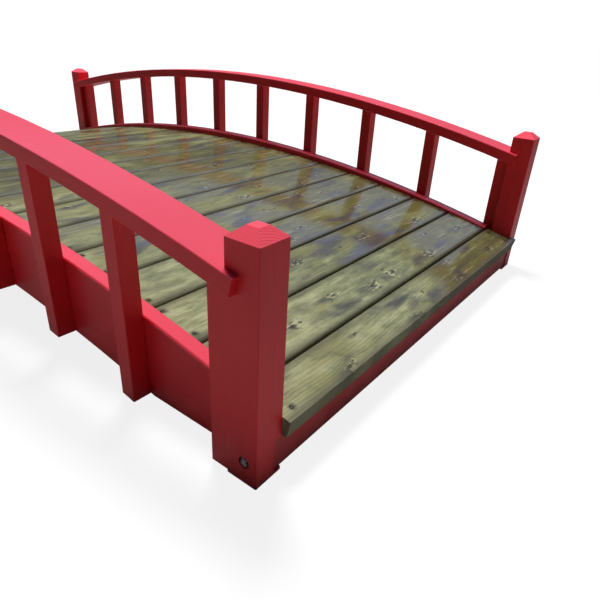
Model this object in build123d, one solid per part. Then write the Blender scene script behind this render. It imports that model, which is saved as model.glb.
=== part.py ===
from build123d import *
import math
import os

# Moon bridge: an arched garden footbridge. Two arch beams carry a deck of cross planks between
# them, and each beam has a low railing of balusters under an arched handrail.
# Millimetres. +X runs along the bridge, +Y across it and +Z up. The origin lies on the ground,
# midway between the four posts, and the front of the bridge is its -Y side.

# Overall sizes
bridge_length = 2576.0          # over the end faces of the posts
bridge_width = 1348.0           # over the outer faces of the posts

# Arched lines: height at mid-span, and height over the end faces of the posts
beam_crown_height = 278.0
beam_end_height = 118.0
deck_crown_height = 254.0
deck_end_height = 114.0
rail_crown_height = 530.0
rail_end_height = 377.0

# Underside of the arch beams: a curve between two level feet
arch_crown_height = 98.0
arch_span = 1932.0
foot_lift = 6.0                 # ground to the beams' feet: the posts alone touch the ground

# Posts, with a bevelled head
post_side = 66.0
post_height = 455.0
head_rise = 17.0
head_flat = 23.0
post_edge_break = 1.5

# Doublers, which stand against the posts on the railing side
doubler_width = 39.0

# Recess for the bolt head low in each post's outer face
bolt_height = 45.0
bolt_shift = 5.5                # from mid-face towards the end of the bridge
bolt_recess_radius = 12.0
bolt_recess_depth = 6.0

# Arch beams
beam_thickness = 38.0
beam_setback = 46.0             # post's outer face to beam's outer face
beam_top_radius = 6.0

# Balusters
baluster_count = 8              # along each side
baluster_width = 38.0
baluster_depth = 42.0
baluster_edge_break = 2.0

# Handrails
rail_thickness = 32.0
rail_overhang = 14.0            # past the post on both of its sides
rail_lap = 28.0                 # length of the two prongs that straddle the post
rail_edge_radius = 3.0          # along the top edges
rail_edge_break = 1.5           # along the lower edges

# Deck planks: whole ones from mid-span outwards, and a ripped one at each end
plank_width = 140.0
plank_thickness = 38.0
plank_gap = 2.5
plank_end_gap = 2.0             # plank's end to arch beam, or to post at the end planks
plank_edge_radius = 10.0        # along a plank's top edges
ripped_edge_radius = 2.0        # along the end planks' outer top edges, where they were ripped
plank_overhang = 16.0           # end plank's edge past the end faces of the posts
plank_horn = 20.0               # end plank's reach across the end face of the back post
narrowest_plank_share = 0.6     # ripped plank's least width, as a share of a whole one's

# Deck bearers, and the end boards that close the ends of the beams
bearer_thickness = 38.0
bearer_depth = 64.0
end_board_thickness = 38.0
end_board_setback = 3.0         # behind the end faces of the posts
end_board_edge_radius = 2.0


class ArchLine:
    """A circular line along the bridge, centred under mid-span."""

    def __init__(self, crown, radius):
        self.crown = crown
        self.radius = radius
        self.centre = crown - radius

    def point(self, angle):
        """Place on the line, by the angle in radians from mid-span."""
        return (self.radius * math.sin(angle), self.centre + self.radius * math.cos(angle))

    def height(self, x):
        return self.centre + math.sqrt(self.radius**2 - x**2)

    def angle(self, x):
        return math.asin(x / self.radius)

    def lowered(self, depth):
        """Line with the same centre, deeper by depth."""
        return ArchLine(self.crown - depth, self.radius - depth)


def arch_line(crown, end, half_chord):
    """Arch line from its heights at mid-span and at both ends of a chord."""
    drop = crown - end
    return ArchLine(crown, (half_chord**2 + drop**2) / (2 * drop))


half_length = bridge_length / 2
half_width = bridge_width / 2

beam_line = arch_line(beam_crown_height, beam_end_height, half_length)
deck_line = arch_line(deck_crown_height, deck_end_height, half_length)
rail_line = arch_line(rail_crown_height, rail_end_height, half_length)
rail_under_line = rail_line.lowered(rail_thickness)
bearer_line = deck_line.lowered(plank_thickness)
bearer_under_line = bearer_line.lowered(bearer_depth)
under_arch_line = arch_line(arch_crown_height, foot_lift, arch_span / 2)

# Places along the bridge
post_x = half_length - post_side                    # post's face on the railing side
doubler_x = post_x - doubler_width
end_board_x = half_length - end_board_setback
beam_end_x = end_board_x - end_board_thickness

# Places across the bridge
post_inner_y = half_width - post_side
beam_outer_y = half_width - beam_setback
beam_inner_y = beam_outer_y - beam_thickness
bearer_inner_y = beam_inner_y - bearer_thickness
rail_outer_y = half_width + rail_overhang
rail_inner_y = post_inner_y - rail_overhang

# Deck layout, measured along the deck line from mid-span
deck_half_arc = deck_line.radius * deck_line.angle(half_length + plank_overhang)
plank_pitch = plank_width + plank_gap
whole_planks = int(2 * (deck_half_arc - plank_gap - narrowest_plank_share * plank_width) / plank_pitch)
end_plank_start = whole_planks * plank_pitch / 2 + plank_gap / 2
end_plank_width = deck_half_arc - end_plank_start
end_plank_arc = end_plank_start + end_plank_width / 2
end_plank_angle = end_plank_arc / deck_line.radius


def cross_plane(y):
    """Plane across the bridge at y, with X along the bridge and its own Y upwards."""
    return Plane(origin=(0, y, 0), x_dir=(1, 0, 0), z_dir=(0, -1, 0))


def slab(outline, y_low, y_high):
    """Solid between two places across the bridge, from an outline of X and Z."""
    return extrude(cross_plane(y_high) * make_face(outline), amount=y_high - y_low)


def polygon_slab(points, y_low, y_high):
    return slab(Polyline(*points, close=True), y_low, y_high)


def box_between(x_span, y_span, z_span):
    """Box from its lowest and highest places along X, Y and Z."""
    sizes = [high - low for low, high in (x_span, y_span, z_span)]
    middle = [(low + high) / 2 for low, high in (x_span, y_span, z_span)]
    return Pos(*middle) * Box(*sizes)


def below(line, y_low, y_high):
    """Round solid under an arch line, for trimming pieces to that line."""
    disc = cross_plane(y_high) * Pos(0, line.centre) * Circle(line.radius)
    return extrude(disc, amount=y_high - y_low)


def arched_board(top, bottom, angle, y_low, y_high):
    """Board bent between two arch lines with one centre, cut square at both ends."""
    top_arc = ThreePointArc(top.point(-angle), top.point(0), top.point(angle))
    bottom_arc = ThreePointArc(bottom.point(angle), bottom.point(0), bottom.point(-angle))
    right_end = Line(top_arc @ 1, bottom_arc @ 0)
    left_end = Line(bottom_arc @ 1, top_arc @ 0)
    return slab([top_arc, right_end, bottom_arc, left_end], y_low, y_high)


def round_edges(shape):
    """Edges of a shape that run along its arched lines, two at each line."""
    return shape.edges().filter_by(GeomType.CIRCLE)


def plank_seat(x):
    """Height of the end plank's underside above x, which is level across the bridge."""
    middle_x, middle_z = bearer_line.point(end_plank_angle)
    return middle_z - (x - middle_x) * math.tan(end_plank_angle)


def top_edges(board):
    """Edges along a plank's top, from left to right."""
    return board.edges().filter_by(Axis.Y).group_by(Axis.Z)[-1].sort_by(Axis.X)


def deck_plank(arc, width, y_low, y_high, right_edge_radius):
    """Flat plank with rounded top edges, laid on the deck line at a distance from mid-span."""
    board = box_between((-width / 2, width / 2), (y_low, y_high), (-plank_thickness, 0))
    board = fillet(top_edges(board)[0], plank_edge_radius)
    board = fillet(top_edges(board)[-1], right_edge_radius)
    angle = arc / deck_line.radius
    x, z = deck_line.point(angle)
    return Pos(x, 0, z) * Rot(0, math.degrees(angle), 0) * board


def end_plank():
    """Right end plank, whose back end is cut round the post and leaves a horn in front of it."""
    end_y = post_inner_y - plank_end_gap
    plank = deck_plank(end_plank_arc, end_plank_width, -end_y, post_inner_y + plank_horn, ripped_edge_radius)
    post_room = box_between((doubler_x, half_length + plank_end_gap), (end_y, half_width), (0, post_height))
    return plank - post_room


def deck_planks():
    """All planks from left to right."""
    end_y = beam_inner_y - plank_end_gap
    planks = []
    for index in range(whole_planks):
        arc = (index - (whole_planks - 1) / 2) * plank_pitch
        planks.append(deck_plank(arc, plank_width, -end_y, end_y, plank_edge_radius))
    return [left(end_plank()), *planks, end_plank()]


def end_plank_pocket(y_low, y_high):
    """Room for the right end plank, open to the end and above, that lets it lap over a beam."""
    lead = plank_gap + end_plank_width / 2
    reach = half_length - beam_end_x + end_plank_width
    depth = plank_thickness
    pocket = Pos((reach - lead) / 2, 0, 0) * Box(reach + lead, y_high - y_low, 2 * depth)
    x, z = deck_line.point(end_plank_angle)
    place = Pos(x, (y_low + y_high) / 2, z)
    return place * Rot(0, math.degrees(end_plank_angle), 0) * pocket


def arch_beam():
    """Back beam: arched above, with an arch between two level feet below."""
    spans = ((-beam_end_x, beam_end_x), (beam_inner_y, beam_outer_y), (foot_lift, beam_crown_height))
    beam = box_between(*spans) & below(beam_line, beam_inner_y, beam_outer_y)
    beam = fillet(round_edges(beam), beam_top_radius)
    beam = beam - below(under_arch_line, beam_inner_y, beam_outer_y)
    pocket = end_plank_pocket(beam_inner_y, beam_outer_y)
    return beam - pocket - mirror(pocket, about=Plane.YZ)


def handrail():
    """Back handrail, forked at both ends to straddle the posts."""
    angle = rail_line.angle(post_x + rail_lap)
    rail = arched_board(rail_line, rail_under_line, angle, rail_inner_y, rail_outer_y)
    rail = chamfer(round_edges(rail).sort_by(SortBy.RADIUS)[:2], rail_edge_break)
    rail = fillet(round_edges(rail).sort_by(SortBy.RADIUS)[-2:], rail_edge_radius)
    fork = box_between((post_x, half_length), (post_inner_y, half_width), (0, rail_crown_height))
    return rail - fork - mirror(fork, about=Plane.YZ)


def post():
    """Right back post, notched round the beam's end and the end board, with a toe under them."""
    spans = ((post_x, half_length), (post_inner_y, half_width), (0, post_height))
    shaft = box_between(*spans)
    railing_edges, end_edges = upright_edges(shaft)
    inner_edge = railing_edges.sort_by(Axis.Y)[0]       # the outer one stays sharp, tight to the doubler
    shaft = chamfer([inner_edge, *end_edges], post_edge_break)
    middle = Pos(half_length - post_side / 2, half_width - post_side / 2)
    base_side = head_flat + (post_side - head_flat) * post_height / head_rise
    head_top = Pos(0, 0, post_height) * Rectangle(head_flat, head_flat)
    bevels = loft([Rectangle(base_side, base_side), head_top])
    notch_points = [
        (post_x, foot_lift),
        (half_length, foot_lift),
        (half_length, plank_seat(half_length)),
        (post_x, plank_seat(post_x)),
    ]
    notch = polygon_slab(notch_points, post_inner_y, beam_outer_y)
    recess_plane = cross_plane(half_width) * Pos(half_length - post_side / 2 + bolt_shift, bolt_height)
    recess = extrude(recess_plane * Circle(bolt_recess_radius), amount=bolt_recess_depth)
    return (shaft & middle * bevels) - notch - recess


def upright_shaft(x_low, x_high, y_high):
    """Square stick on the back beam's outer face, long enough for any upright."""
    return box_between((x_low, x_high), (beam_outer_y, y_high), (foot_lift, rail_crown_height))


def upright_edges(shaft):
    """Long edges of a stick, in pairs from left to right."""
    return shaft.edges().filter_by(Axis.Z).group_by(Axis.X)


def cut_upright(shaft, y_high):
    """Upright from a stick, cut to the beam's underside and the handrail's."""
    shaft = shaft & below(rail_under_line, beam_outer_y, y_high)
    return shaft - below(under_arch_line, beam_outer_y, y_high)


def doubler():
    """Right back doubler, as deep as the post stands out from the beam and tight to the post."""
    shaft = upright_shaft(doubler_x, post_x, half_width)
    free_edges, _ = upright_edges(shaft)
    return cut_upright(chamfer(free_edges, post_edge_break), half_width)


def balusters():
    """Back balusters, evenly spaced between the two doublers."""
    outer_y = beam_outer_y + baluster_depth
    outer_centre = post_x - doubler_width / 2
    spacing = 2 * outer_centre / (baluster_count + 1)
    uprights = []
    for index in range(baluster_count):
        middle = (index + 1) * spacing - outer_centre
        low = middle - baluster_width / 2
        high = middle + baluster_width / 2
        shaft = upright_shaft(low, high, outer_y)
        left_edges, right_edges = upright_edges(shaft)
        shaft = chamfer([*left_edges, *right_edges], baluster_edge_break)
        uprights.extend(cut_upright(shaft, outer_y).solids())
    return Compound(uprights)


def deck_bearer(y_low, y_high):
    """Arched rib under the planks, between the two end boards."""
    spans = ((-beam_end_x, beam_end_x), (y_low, y_high), (foot_lift, deck_crown_height))
    rib = box_between(*spans) & below(bearer_line, y_low, y_high)
    return rib - below(bearer_under_line, y_low, y_high)


def end_board():
    """Right end board, across the ends of the beams and bearers, bevelled to the end plank."""
    points = [
        (beam_end_x, foot_lift),
        (end_board_x, foot_lift),
        (end_board_x, plank_seat(end_board_x)),
        (beam_end_x, plank_seat(beam_end_x)),
    ]
    board = polygon_slab(points, -beam_outer_y, beam_outer_y)
    lower_edge = board.edges().filter_by(Axis.Y).group_by(Axis.Z)[0].sort_by(Axis.X)[-1]
    return fillet(lower_edge, end_board_edge_radius)


def front(shape):
    """Front copy of a piece made for the back."""
    return mirror(shape, about=Plane.XZ)


def left(shape):
    """Left copy of a piece made for the right."""
    return mirror(shape, about=Plane.YZ)


pieces = {}
for name, piece in (("arch_beam", arch_beam()), ("handrail", handrail()), ("balusters", balusters())):
    pieces["back_" + name] = piece
    pieces["front_" + name] = front(piece)
for name, piece in (("post", post()), ("doubler", doubler())):
    pieces["back_right_" + name] = piece
    pieces["back_left_" + name] = left(piece)
    pieces["front_right_" + name] = front(piece)
    pieces["front_left_" + name] = front(left(piece))
side_bearer = deck_bearer(bearer_inner_y, beam_inner_y)
pieces["back_deck_bearer"] = side_bearer
pieces["front_deck_bearer"] = front(side_bearer)
pieces["middle_deck_bearer"] = deck_bearer(-bearer_thickness / 2, bearer_thickness / 2)
pieces["right_end_board"] = end_board()
pieces["left_end_board"] = left(pieces["right_end_board"])
for index, plank in enumerate(deck_planks()):
    pieces[f"deck_plank_{index + 1:02d}"] = plank

os.makedirs("parts", exist_ok=True)
for name, piece in pieces.items():
    export_step(piece, f"parts/{name}.step")
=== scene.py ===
"""Moon bridge: finished pieces, finishes and studio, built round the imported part."""
import math

import bmesh
import bpy
from bpy.props import FloatProperty, FloatVectorProperty, IntProperty, PointerProperty
from mathutils import Matrix, Vector


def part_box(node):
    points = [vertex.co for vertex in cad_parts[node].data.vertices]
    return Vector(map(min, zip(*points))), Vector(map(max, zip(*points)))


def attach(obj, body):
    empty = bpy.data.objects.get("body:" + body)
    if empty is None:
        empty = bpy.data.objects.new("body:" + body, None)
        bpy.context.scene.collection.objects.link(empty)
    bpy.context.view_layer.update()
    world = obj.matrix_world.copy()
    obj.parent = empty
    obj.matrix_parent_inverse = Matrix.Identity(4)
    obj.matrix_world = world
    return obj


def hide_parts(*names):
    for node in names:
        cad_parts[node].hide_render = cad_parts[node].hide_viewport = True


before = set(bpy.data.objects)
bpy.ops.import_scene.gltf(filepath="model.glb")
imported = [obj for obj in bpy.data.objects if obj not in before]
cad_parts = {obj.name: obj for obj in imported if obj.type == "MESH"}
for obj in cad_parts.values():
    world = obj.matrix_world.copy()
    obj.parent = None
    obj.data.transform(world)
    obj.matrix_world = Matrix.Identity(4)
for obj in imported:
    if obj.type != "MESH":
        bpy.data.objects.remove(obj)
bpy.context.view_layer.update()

bl_info = {
    "name": "Moon Bridge",
    "version": (1, 0, 0),
    "blender": (4, 5, 0),
    "location": "View3D > Sidebar > Moon Bridge",
    "description": "Finished timber, fixings and studio of an arched garden footbridge",
    "category": "Object",
}

BODY = "root"

ENDS = ("left", "right")
SIDES = ("front", "back")
PLANKS = sorted(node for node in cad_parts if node.startswith("deck_plank_"))
PLANK_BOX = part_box(PLANKS[len(PLANKS) // 2])
PLANK_SIZE = PLANK_BOX[1] - PLANK_BOX[0]
POST_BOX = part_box("back_right_post")
HALF_LENGTH = POST_BOX[1].x
HALF_WIDTH = POST_BOX[1].y
POST_SIDE = POST_BOX[1].x - POST_BOX[0].x
BALUSTER_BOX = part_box("back_balusters")
BALUSTER_DEPTH = BALUSTER_BOX[1].y - BALUSTER_BOX[0].y
DOUBLER_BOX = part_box("back_right_doubler")

# The bridge's axes
ALONG = 0
ACROSS = 1
UPRIGHT = 2

# Attributes that the pieces carry for their finishes
PLACE = "board_place"       # along, across and through the board, in metres
SEED = "board_seed"         # one number for each board
HALF = "board_half_width"   # half the board's width, in metres
END = "board_end"           # how far a face looks along the board: 1 on a square end

# First seeds of the pieces whose grain or turn is random
BALUSTER_SEEDS = {"front": 40, "back": 60}
BEAM_SEED = 100
POST_SEED = 133
END_BOARD_SEED = 145
BEARER_SEED = 150
BOLT_SEED = 3

# Lengths in the finishes, in metres
RING_SPACING = 0.0055           # growth rings of the deck and the bearers
PAINTED_RING_SPACING = 0.0042   # growth rings of the painted timber
PITH_ACROSS = 0.12              # furthest that a log's pith lies beside the board's middle
PITH_DEPTHS = (0.01, 0.09)      # least and most that it lies under the board
PITH_WANDER = 0.025             # how far it wanders along the board
KNOT_RADII = (0.004, 0.013)     # smallest and largest knot
JOINT_GRIME_AND_SHADE = (0.026, 0.002)     # from a plank's edge: where the grime and painted shade begin and where they are full
JOINT_GRIME_AND_SHADE_WANDER = 0.015       # how far the edge of that grime and painted shade wanders
SCREW_STAIN_AND_SHADE = (0.013, 0.004)    # from a screw's axis: where the stain and painted shade begin and where they are full
DUST_AND_SHADE_HEIGHT = 0.10            # how high the dusty darkening and painted shade reach on the paint
PAINT_RELIEF = 0.0003           # depths of the bumps, one for each finish
DECK_RELIEF = 0.0006
SAWN_RELIEF = 0.0008
METAL_RELIEF = 0.00008

# Knots: places for them in one metre, and the share of the places that have one
KNOTS_ALONG = 6.5
KNOTS_ACROSS = 8.5
DECK_KNOT_SHARE = 0.80
BEARER_KNOT_SHARE = 0.3
SAW_MARK_TURN = 1900.0          # turn of the saw marks' wave along a metre, in radians

# How far apart the patterns of different boards lie in their noise
GRAIN_SHIFT = 37.0
KNOT_SHIFT = 19.0
STAIN_STEP = 3.7
BOW_STEP = 11.3

# Angles over which an edge is sharp: of grown pieces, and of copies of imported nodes
SHARP_CORNER = math.radians(50)
SHARP_EDGE = math.radians(30)

# Stations along a grown board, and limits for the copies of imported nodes
PLANK_STATIONS = 40
BALUSTER_STATIONS = 16
MERGE_DISTANCE = 1e-6
FLAT_ANGLE = math.radians(0.05)

# Rings of a fixing's head: reach and height as shares of its radius, and corners, 0 if round
SCREW_RINGS = ((0.55, -1.0, 0), (1.0, 0.0, 0), (0.92, 0.06, 0), (0.50, 0.06, 6), (0.42, -0.35, 6))
BOLT_RINGS = ((1.3, 0.0, 0), (1.3, 0.16, 0), (1.02, 0.18, 0),
              (1.0, 0.2, 6), (1.0, 0.60, 6), (0.86, 0.72, 0))
SCREW_SIDES = 12
BOLT_SIDES = 24
SCREWS_PER_PLANK = 5

# Roughness of bright metal, and the share of painted shade on the end boards
SCREW_ROUGHNESS = 0.42
BOLT_ROUGHNESS = 0.34
END_BOARD_SHADE = 0.55

SENSOR_WIDTH = 36.0             # of the camera, in millimetres
BOARD_SIZES = ("Length", "Width", "Thickness", "Upper Radius", "Lower Radius")
GRAIN_MASKS = ("Rings", "Fibre", "Knot", "Rim", "Halo", "Tone", "Height")

# Sockets that several geometry trees share
FINISH_INPUTS = [("Seed", "NodeSocketInt", 0), ("Finish", "NodeSocketMaterial", None)]
HEAD_INPUTS = [("Head", "NodeSocketObject", None), *FINISH_INPUTS]


def length_setting(name, description, default):
    return FloatProperty(name=name, description=description, default=default, unit="LENGTH")


def share_setting(name, description, default):
    return FloatProperty(name=name, description=description, default=default,
                         subtype="FACTOR", min=0.0, max=1.0)


def angle_setting(name, description, degrees):
    return FloatProperty(name=name, description=description, default=math.radians(degrees), subtype="ANGLE")


def number_setting(name, description, default, least):
    return IntProperty(name=name, description=description, default=default, min=least, subtype="UNSIGNED")


def place_setting(name, description, default):
    return FloatVectorProperty(name=name, description=description, default=default,
                               subtype="TRANSLATION", unit="LENGTH")


def colour_setting(name, description, default):
    return FloatVectorProperty(name=name, description=description, default=default,
                               subtype="COLOR", min=0.0, max=1.0)


class DeckSettings(bpy.types.PropertyGroup):
    """Sizes of the planks and of the arched line that they lie on."""

    crown_height: length_setting("Crown height", "Top of the deck at mid-span", PLANK_BOX[1].z)
    end_height: length_setting("End height", "Deck line over the end faces of the posts", 0.114)
    plank_width: length_setting("Plank width", "Width of a whole plank", PLANK_SIZE.x)
    plank_length: length_setting("Plank length", "Length of a whole plank", PLANK_SIZE.y)
    plank_thickness: length_setting("Plank thickness", "Thickness of every plank", PLANK_SIZE.z)
    plank_gap: length_setting("Plank gap", "Open joint between two planks", 0.0025)
    overhang: length_setting("Overhang", "End plank's edge past the end faces of the posts", 0.016)
    edge_radius: length_setting("Edge radius", "Rounded top edges of a plank", 0.010)
    lower_radius: length_setting("Lower edge radius", "Eased lower edges of a plank", 0.0012)
    wander: length_setting("Wander", "How far a plank bows out of its straight line", 0.0005)
    cup: length_setting("Cup", "How far a plank's edges lie below its middle", 0.0005)
    first_seed: number_setting("First seed", "Seed of the left end's plank, one less than the next's", 335, 0)


class RailingSettings(bpy.types.PropertyGroup):
    """Sizes of the balusters and of the arched lines that they end at."""

    rail_crown_height: length_setting("Rail crown height", "Top of the handrail at mid-span", 0.530)
    rail_end_height: length_setting("Rail end height", "Handrail's top line over the posts' end faces", 0.377)
    rail_thickness: length_setting("Rail thickness", "Thickness of the handrail", 0.032)
    arch_crown_height: length_setting("Arch crown height", "Underside of the arch beam at mid-span", 0.098)
    arch_span: length_setting("Arch span", "Span of the curve under the arch beam", 1.932)
    foot_lift: length_setting("Foot lift", "Ground to the feet of the beams and uprights", DOUBLER_BOX[0].z)
    baluster_count: number_setting("Balusters", "Balusters along each side", 8, 1)
    baluster_width: length_setting("Baluster width", "Along the bridge", 0.038)
    baluster_depth: length_setting("Baluster depth", "Across the bridge", BALUSTER_DEPTH)
    baluster_edge: length_setting("Baluster edge radius", "Eased long edges of a baluster", 0.002)


class FixingSettings(bpy.types.PropertyGroup):
    """Sizes and places of the deck screws and post bolts."""

    screw_diameter: length_setting("Screw head", "Diameter of a deck screw's head", 0.0088)
    screw_sink: length_setting("Screw sink", "Depth of the head's rim under the plank's top", 0.0002)
    screw_edge_distance: length_setting("Screw edge distance", "Screw to the plank's long edge", 0.023)
    screw_row_distance: length_setting("Screw row distance", "Row of screws to the bridge's middle", 0.575)
    screw_stray: length_setting("Screw stray", "How far a screw strays from its row", 0.003)
    bolt_height: length_setting("Bolt height", "Bolt's axis above the ground", 0.045)
    bolt_shift: length_setting("Bolt shift", "Bolt's axis from mid-face of the post, towards the end", 0.0055)
    bolt_recess: length_setting("Bolt recess", "Depth of the recess that the bolt's head sits in", 0.006)
    bolt_diameter: length_setting("Bolt head", "Width of the bolt's head over its corners", 0.0165)


class FinishSettings(bpy.types.PropertyGroup):
    """Colours of the paint, the timber and the fixings."""

    paint: colour_setting("Paint", "Gloss paint of the railings, beams and posts", (0.60, 0.013, 0.019))
    # Darker paint over grain, clouds and brush marks, and low down where it is dusty and in painted shade
    paint_dark: colour_setting("Dulled paint", "Paint where it is thick, or dusty", (0.42, 0.010, 0.015))
    # Painted shade: the end boards' paint, darker as if shaded near the ground
    paint_shaded: colour_setting("Dirty paint", "Paint that the ground splashes", (0.16, 0.028, 0.026))
    # Faces that look up: faded paint, with a painted sky sheen in its pink
    paint_faded_and_sheen: colour_setting("Faded paint", "Paint on faces that look up", (0.70, 0.062, 0.090))
    # Pale end grain with its rings, on faces that look up: a painted highlight
    paint_end_highlight: colour_setting("Soaked paint", "Paint that the end grain has soaked up", (0.94, 0.090, 0.125))
    timber_olive: colour_setting("Olive timber", "Dry timber of the deck", (0.234, 0.247, 0.124))
    timber_amber: colour_setting("Amber timber", "Damp timber of the deck", (0.104, 0.097, 0.025))
    timber_grey: colour_setting("Grey timber", "Dry timber that has weathered", (0.118, 0.128, 0.072))
    # Slate smudges and knot halos: stains, and a painted reflection of the sky in wet spots
    timber_slate: colour_setting("Slate timber", "Smudges, and stains by knots", (0.048, 0.046, 0.050))
    # Pale timber also gives the painted highlights on knot crumbs and part of the painted sky sheen at the
    # front of the right end
    timber_pale: colour_setting("Pale timber", "Dry fibres and flecks", (0.430, 0.425, 0.245))
    timber_yellow: colour_setting("Yellow timber", "Timber round damp patches", (0.205, 0.190, 0.060))
    # Grime and painted shade along the deck's joints
    timber_grime_and_shade: colour_setting("Dirty timber", "Deck timber along its joints", (0.085, 0.080, 0.050))
    timber_dark: colour_setting("Dark timber", "Latewood and stains", (0.040, 0.038, 0.024))
    knot: colour_setting("Knot", "Heart of a knot", (0.026, 0.018, 0.012))
    bearer: colour_setting("Bearer timber", "Sawn treated timber under the deck", (0.210, 0.190, 0.080))
    screw: colour_setting("Screw", "Weathered steel of the deck screws", (0.035, 0.032, 0.028))
    bolt: colour_setting("Bolt", "Zinc of the post bolts", (0.42, 0.43, 0.43))


class StageSettings(bpy.types.PropertyGroup):
    """Camera, lamp, dome and floor."""

    camera_place: place_setting("Camera", "Place of the camera", (1.696675, -1.142275, 0.685339))
    camera_turn: angle_setting("Camera turn", "Direction of the camera, round from the front", 35.962)
    camera_tilt: angle_setting("Camera tilt", "How far the camera looks down", 27.232)
    camera_roll: angle_setting("Camera roll", "How far the camera leans", 3.418)
    camera_lens: FloatProperty(
        name="Lens", description="Focal length on a 36 mm sensor", default=30.666, unit="CAMERA")
    lamp_place: place_setting("Lamp", "Place of the soft lamp overhead", (-0.4, 0.8, 5.0))
    lamp_size: length_setting("Lamp size", "Side of the square lamp", 1.4)
    lamp_power: FloatProperty(
        name="Lamp power", description="Power of the soft lamp overhead", default=395.0, unit="POWER")
    dome_strength: share_setting("Dome strength", "Level of the light from all round", 0.035)
    dome: colour_setting("Dome", "Light from all round", (0.86, 0.94, 1.0))
    dome_low: colour_setting("Mirrored dome, low", "What gloss mirrors near the horizon", (0.06, 0.075, 0.09))
    dome_high: colour_setting("Mirrored dome, high", "What gloss mirrors overhead", (0.52, 0.62, 1.0))
    floor: colour_setting("Floor", "Light on the floor that the camera sees", (0.17, 0.17, 0.17))
    floor_bounce: colour_setting("Floor bounce", "Floor as the bridge sees it", (0.80, 0.79, 0.78))
    floor_near: share_setting("Floor white, near", "White that the camera sees by the bridge", 0.83)
    floor_far: share_setting("Floor white, far", "White that the camera sees far from the bridge", 1.0)
    floor_fade: length_setting("Floor fade", "Distance from the near white to the far one", 5.0)
    floor_mirrored: share_setting("Floor in gloss", "Share of the floor's white that gloss mirrors", 0.15)
    floor_reach: length_setting("Floor reach", "Half the side of the floor", 60.0)


class ArchLine:
    """A circular line along the bridge, centred under mid-span."""

    def __init__(self, crown, end, half_chord):
        drop = crown - end
        self.radius = (half_chord**2 + drop**2) / (2 * drop)
        self.centre = crown - self.radius

    def angle(self, x):
        return math.asin(x / self.radius)


def deck_line(deck):
    return ArchLine(deck.crown_height, deck.end_height, HALF_LENGTH)


def plank_layout(deck):
    """Angle and width of every plank, from left to right."""
    line = deck_line(deck)
    whole = len(PLANKS) - 2
    pitch = deck.plank_width + deck.plank_gap
    half_arc = line.radius * line.angle(HALF_LENGTH + deck.overhang)
    end_start = whole * pitch / 2 + deck.plank_gap / 2
    end_width = half_arc - end_start
    end_angle = (end_start + end_width / 2) / line.radius
    planks = [((index - (whole - 1) / 2) * pitch / line.radius, deck.plank_width) for index in range(whole)]
    return [(-end_angle, end_width), *planks, (end_angle, end_width)]


class Value:
    """What a node gives. Arithmetic with it adds more nodes to its graph."""

    def __init__(self, graph, socket):
        self.graph = graph
        self.socket = socket

    def math(self, operation, other=0.0):
        return self.graph.first("ShaderNodeMath", {0: self, 1: other}, operation=operation)

    def vector(self, operation, other=(0.0, 0.0, 0.0)):
        return self.graph.first("ShaderNodeVectorMath", {0: self, 1: other}, operation=operation)

    def __add__(self, other):
        return self.math("ADD", other)

    def __sub__(self, other):
        return self.math("SUBTRACT", other)

    def __mul__(self, other):
        return self.math("MULTIPLY", other)

    def __truediv__(self, other):
        return self.math("DIVIDE", other)

    def sign(self):
        """Minus one for 0, and one for 1."""
        return self * 2.0 - 1.0

    def ramp(self, low, high, start=0.0, end=1.0):
        """Smooth step from start to end as the value goes from low to high."""
        inputs = {"Value": self, "From Min": low, "From Max": high, "To Min": start, "To Max": end}
        return self.graph.first("ShaderNodeMapRange", inputs, interpolation_type="SMOOTHSTEP")

    def spread(self, start, end):
        """Straight line from start to end as the value goes from 0 to 1."""
        return self.graph.first("ShaderNodeMapRange", {"Value": self, "To Min": start, "To Max": end})

    def split(self):
        return self.graph.parts("ShaderNodeSeparateXYZ", {"Vector": self})

    def split_colour(self):
        return self.graph.parts("ShaderNodeSeparateColor", {"Color": self})

    def noise(self, scale, detail=2.0, roughness=0.5, distortion=0.0):
        """Cloudy noise over a place, with one scale or with one for each axis."""
        place = self
        if isinstance(scale, tuple):
            place = self.vector("MULTIPLY", scale)
            scale = 1.0
        inputs = {"Vector": place, "Scale": scale, "Detail": detail, "Roughness": roughness,
                  "Distortion": distortion}
        return self.graph.first("ShaderNodeTexNoise", inputs)


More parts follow.
